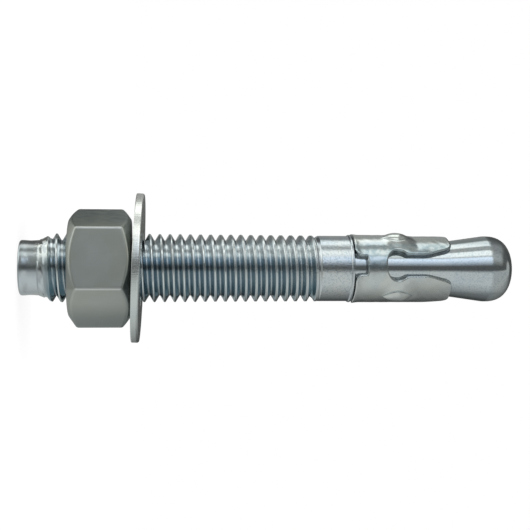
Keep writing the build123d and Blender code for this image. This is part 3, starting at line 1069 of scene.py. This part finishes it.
CARDS = {
    "white": grey_card(0),
    "cool": (0.80, 0.90, 1.00),
    "pale": grey_card(1),
    "grey": grey_card(2),
    "dim": grey_card(3),
    "dusk": grey_card(4),
    "slate": grey_card(5),
    "dark": grey_card(7),
    "black": grey_card(8),
}
TENT = {
    # the cards of each height, hung every five degrees: both edges in degrees from -Y,
    # positive towards -X
    "crown": (
        ("black", -180, -170), ("dusk", -110, -100), ("dim", -70, -10), ("dark", -5, 10),
        ("dim", 35, 45), ("dusk", 70, 90), ("dark", 135, 160), ("black", 180, 180),
    ),
    "upper": (
        ("black", -180, -140), ("slate", -115, -110), ("grey", -55, -15), ("dark", -5, 10),
        ("cool", 35, 40), ("grey", 45, 45), ("white", 50, 65), ("dim", 70, 85),
        ("white", 90, 110), ("dusk", 120, 155), ("black", 180, 180),
    ),
    "lower": (
        ("dim", -180, -125), ("grey", -80, -45), ("dim", -20, -20), ("dark", 0, 5),
        ("dusk", 20, 25), ("dim", 45, 50), ("pale", 55, 65), ("dusk", 75, 85),
        ("pale", 95, 105), ("dark", 120, 155), ("dim", 180, 180),
    ),
    "ground": (
        ("dim", -180, -40), ("dusk", -5, 20), ("white", 55, 115), ("dim", 150, 180),
    ),
}


def tent_light(shader, stage):
    """Bands of light and dark card round the stud's axis, in four heights that fade over.

    The turn is a share of a full round from -Y towards -X, and the lift a height over the
    tent's middle in tent radii. Its roof is darkened on the -X side.
    """
    _, x, y, z, radius = shader.place()
    turn = (x * -1).math("ARCTAN2", y * -1) / TAU
    bands = {}
    for part, row in TENT.items():
        stops = [((edge + 180) / 360, CARDS[card]) for card, *edges in row for edge in edges]
        bands[part] = shader.node("ValToRGB", {"stops": stops}, {"Fac": turn + 0.5})
    lift = (z - stage.tent_middle / MM) / radius
    shade = shader.mix(lift.rise(-0.13, -0.05), bands["lower"], bands["upper"])
    shade = shader.mix(lift.rise(0.345, 0.41), shade, bands["crown"])
    shade = shader.mix(lift.rise(-0.5, -0.9), shade, bands["ground"])
    roof = lift.rise(0.8, 1.6) * turn.rise(0.0, 0.06) * turn.rise(0.50, 0.47)
    shade = shader.mix(roof * 0.85, shade, CARDS["black"])
    shade = shader.mix(lift.rise(3.0, 5.0), shade, CARDS["dim"])
    return shader.node("Emission", {}, {"Color": shade, "Strength": stage.tent_strength})


def floor_paint(shader, stage):
    """Matt white that catches a shadow, seen by the camera as mostly plain white."""
    rays = ("Is Camera Ray", "Is Glossy Ray", "Is Transmission Ray")
    seen = [shader.node("LightPath", {}, {}, output=ray) for ray in rays]
    matt = shader.node("BsdfDiffuse", {}, {"Color": (1.0, 1.0, 1.0, 1)})
    plain = shader.node("Emission", {}, {"Color": (1.0, 1.0, 1.0, 1), "Strength": 1.0})
    share = (seen[0] + seen[1] + seen[2]) * stage.floor_white
    return shader.node("MixShader", {}, {0: share, 1: matt, 2: plain})


class AnchorBuildStage(bpy.types.Operator):
    """Sets up the floor, the light tent, the white surround and the camera"""

    bl_idname = "anchor.build_stage"
    bl_label = "Stage"

    def execute(self, context):
        stage = context.scene.anchor_stage
        self.build_tent(stage)
        self.build_floor(stage)
        self.hang_lamp(context.scene, stage)
        self.light_world(context.scene)
        self.set_camera(context.scene, stage)
        context.scene.view_settings.view_transform = "Standard"
        return {"FINISHED"}

    def build_tent(self, stage):
        """Round tent about the axis, closed above and below, seen only in reflections."""
        radius, half_height = stage.tent_radius, 2.5 * stage.tent_radius
        line = np.array([
            (0, -half_height), (radius, -half_height), (radius, half_height), (0, half_height)
        ])
        tent = sew("light_tent", [revolved(line, around(96))])
        tent.data.materials.append(material("tent_light", tent_light, stage))
        tent.visible_camera = False
        tent.visible_diffuse = False
        tent.visible_shadow = False
        tent.visible_transmission = False
        tent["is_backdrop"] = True

    def build_floor(self, stage):
        """White floor that keeps a soft shadow and stays out of the metal's reflections."""
        line = np.array([(0, 0), (0.3, 0), (6.0, 0)])
        floor = sew("floor", [revolved(line, around(64))])
        floor.data.materials.append(material("floor_paint", floor_paint, stage))
        floor.visible_glossy = False
        floor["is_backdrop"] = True

    def hang_lamp(self, scene, stage):
        """Softbox overhead, pointed at the driving end."""
        data = bpy.data.lights.new("overhead_softbox", "AREA")
        data.size, data.energy = stage.lamp_size, stage.lamp_power
        lamp = bpy.data.objects.new("overhead_softbox", data)
        lamp.location = (-0.25, -0.35, 0.8)
        lamp.rotation_mode = "QUATERNION"
        lamp.rotation_quaternion = Vector(lamp.location).to_track_quat("Z", "Y")
        lamp.visible_glossy = False
        scene.collection.objects.link(lamp)

    def light_world(self, scene):
        """Plain white light from all round, which is also the background."""
        world = bpy.data.worlds.new("surround")
        scene.world = world
        world.use_nodes = True
        shader = Shader(world.node_tree)
        white = {"Color": (1.0, 1.0, 1.0, 1), "Strength": 1.0}
        surround = shader.node("Background", {}, white)
        shader.node("OutputWorld", {}, {"Surface": surround})

    def set_camera(self, scene, stage):
        """The stud lies across the frame: picture right is +Z and picture up is -X."""
        data = bpy.data.cameras.new("camera")
        data.lens = stage.lens
        data.sensor_width = 36
        data.clip_start, data.clip_end = 0.01, 20
        yaw, roll = stage.camera_yaw, stage.camera_roll
        ahead = Vector((0, math.cos(yaw), math.sin(yaw)))
        right = Vector((0, -math.sin(yaw), math.cos(yaw)))
        up = Vector((-1, 0, 0))
        turned_right = right * math.cos(roll) + up * math.sin(roll)
        turned_up = up * math.cos(roll) - right * math.sin(roll)
        axes = Matrix((turned_right, turned_up, -ahead)).transposed()
        camera = bpy.data.objects.new("camera", data)
        camera.rotation_mode = "QUATERNION"
        camera.rotation_quaternion = axes.to_quaternion()
        camera.location = (stage.camera_side, -stage.camera_distance, stage.camera_height)
        scene.collection.objects.link(camera)
        scene.camera = camera


# ---- Panel and registration ----
class AnchorPanel(bpy.types.Panel):
    """Buttons for the anchor's pieces and its stage"""

    bl_idname = "VIEW3D_PT_anchor"
    bl_label = "Wedge Anchor"
    bl_space_type = "VIEW_3D"
    bl_region_type = "UI"
    bl_category = "Anchor"

    def draw(self, context):
        for operator in OPERATORS:
            self.layout.operator(operator.bl_idname)


PROPERTIES = {
    "anchor_stud": AnchorStudSizes,
    "anchor_nut": AnchorNutSizes,
    "anchor_washer": AnchorWasherSizes,
    "anchor_clip": AnchorClipSizes,
    "anchor_colours": AnchorColours,
    "anchor_stage": AnchorStage,
}
OPERATORS = (
    AnchorBuildStud,
    AnchorBuildNut,
    AnchorBuildWasher,
    AnchorBuildClip,
    AnchorBuildStage,
)


def register():
    for cls in (*PROPERTIES.values(), *OPERATORS, AnchorPanel):
        bpy.utils.register_class(cls)
    for name, cls in PROPERTIES.items():
        setattr(bpy.types.Scene, name, PointerProperty(type=cls))


def unregister():
    for name in PROPERTIES:
        delattr(bpy.types.Scene, name)
    for cls in (AnchorPanel, *OPERATORS, *PROPERTIES.values()):
        bpy.utils.unregister_class(cls)


def main():
    register()
    bpy.ops.anchor.build_stud()
    bpy.ops.anchor.build_nut()
    bpy.ops.anchor.build_washer()
    bpy.ops.anchor.build_clip()
    bpy.ops.anchor.build_stage()
    boxes = {"cad": CAD_BOX, "visual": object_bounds()}
    boxes = {name: [list(corner) for corner in box] for name, box in boxes.items()}


if __name__ == "__main__":
    main()
